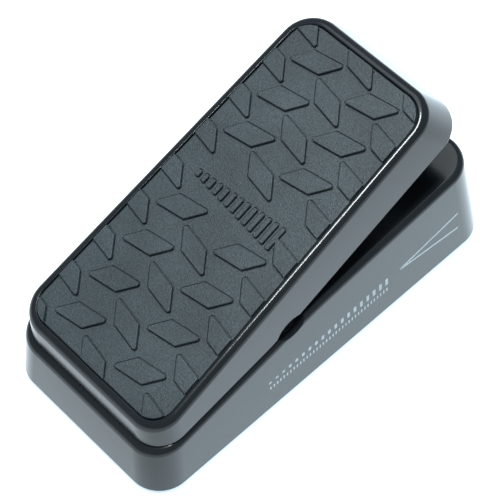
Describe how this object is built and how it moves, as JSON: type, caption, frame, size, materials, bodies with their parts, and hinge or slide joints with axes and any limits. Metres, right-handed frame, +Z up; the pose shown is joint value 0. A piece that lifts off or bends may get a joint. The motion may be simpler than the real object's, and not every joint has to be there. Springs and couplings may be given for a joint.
{
  "type": "volume pedal",
  "caption": "Small foot-operated volume pedal with a cast base, a rocking treadle with a lozenge-pattern rubber mat, and a band-driven potentiometer.",
  "frame": {"origin": "on the floor under the middle of the base, between the rubber feet", "axes": "+X to the player's right, +Y from the heel towards the toe, +Z up"},
  "size_m": [0.073, 0.153, 0.0817],
  "materials": {
    "painted_casting": "semi-gloss dark blue-grey enamel on a pressure casting",
    "mat_rubber": "matt grained black rubber with raised lozenges",
    "black_rubber": "matt black rubber",
    "black_steel": "black oxide or black powder on steel",
    "steel": "bright drawn steel",
    "zinc_plate": "bright zinc plate",
    "nickel": "bright nickel plate",
    "black_nylon": "moulded black nylon",
    "bronze": "sintered bronze",
    "brass": "turned brass",
    "bare_aluminium": "bare machined aluminium",
    "board_green": "green solder resist on glass epoxy",
    "wire_black": "black PVC insulation",
    "wire_red": "red PVC insulation",
    "wire_white": "white plastic"
  },
  "bodies": {
    "base": {"base_housing": "painted_casting", "bottom_plate": "black_steel", "plate_screw_heel_left": "zinc_plate", "rubber_foot_heel_left": "black_rubber", "bumper_heel_left": "black_rubber", "plate_screw_heel_right": "zinc_plate", "rubber_foot_heel_right": "black_rubber", "bumper_heel_right": "black_rubber", "plate_screw_toe_left": "zinc_plate", "rubber_foot_toe_left": "black_rubber", "bumper_toe_left": "black_rubber", "plate_screw_toe_right": "zinc_plate", "rubber_foot_toe_right": "black_rubber", "bumper_toe_right": "black_rubber", "pivot_bush_left": "bronze", "pivot_bush_right": "bronze", "pot_bracket": "zinc_plate", "bracket_screw_1": "zinc_plate", "bracket_screw_2": "zinc_plate", "pot_body": "zinc_plate", "pot_nut": "zinc_plate", "circuit_board": "board_green", "board_screw_1": "zinc_plate", "board_screw_2": "zinc_plate", "buffer_chip": "black_nylon", "filter_capacitor": "black_nylon", "mode_switch_body": "zinc_plate", "jack_input_sleeve": "nickel", "jack_input_contact": "black_nylon", "jack_input_nut": "nickel", "jack_aux_sleeve": "nickel", "jack_aux_contact": "black_nylon", "jack_aux_nut": "nickel", "jack_output_sleeve": "nickel", "jack_output_contact": "black_nylon", "jack_output_nut": "nickel", "pot_wire_1": "wire_black", "pot_wire_2": "wire_red", "pot_wire_3": "wire_white", "jack_wire_1": "wire_red", "jack_wire_2": "wire_black", "jack_wire_3": "wire_white"},
    "treadle": {"treadle_casting": "painted_casting", "tread_mat": "mat_rubber", "pivot_axle": "steel", "axle_cap_left": "black_nylon", "axle_cap_right": "black_nylon", "drive_arm": "bare_aluminium", "arm_screw_1": "zinc_plate", "arm_screw_2": "zinc_plate", "drive_band": "steel", "band_clamp_screw_1": "zinc_plate", "band_clamp_screw_2": "zinc_plate"},
    "pot_rotor": {"pot_shaft": "bare_aluminium", "drive_pulley": "brass", "pulley_set_screw": "black_steel", "drive_band_loop": "steel"},
    "switch_slider": {"mode_switch_slider": "wire_white"}
  },
  "joints": [
    {"name": "treadle_pivot", "type": "hinge", "parent": "base", "child": "treadle", "pos_m": [0, -0.014, 0.034], "axis": [-1, 0, 0], "range_deg": [0, 14.5]},
    {"name": "pot_turn", "type": "hinge", "parent": "base", "child": "pot_rotor", "pos_m": [0, 0.01735, 0.0159], "axis": [1, 0, 0], "range_deg": [0, 88]},
    {"name": "mode_switch", "type": "slide", "parent": "base", "child": "switch_slider", "axis": [1, 0, 0], "range_m": [0, 0.002]}
  ],
  "couplings": [
    {"joint": "pot_turn", "follows": "treadle_pivot", "ratio": 6.005}
  ]
}
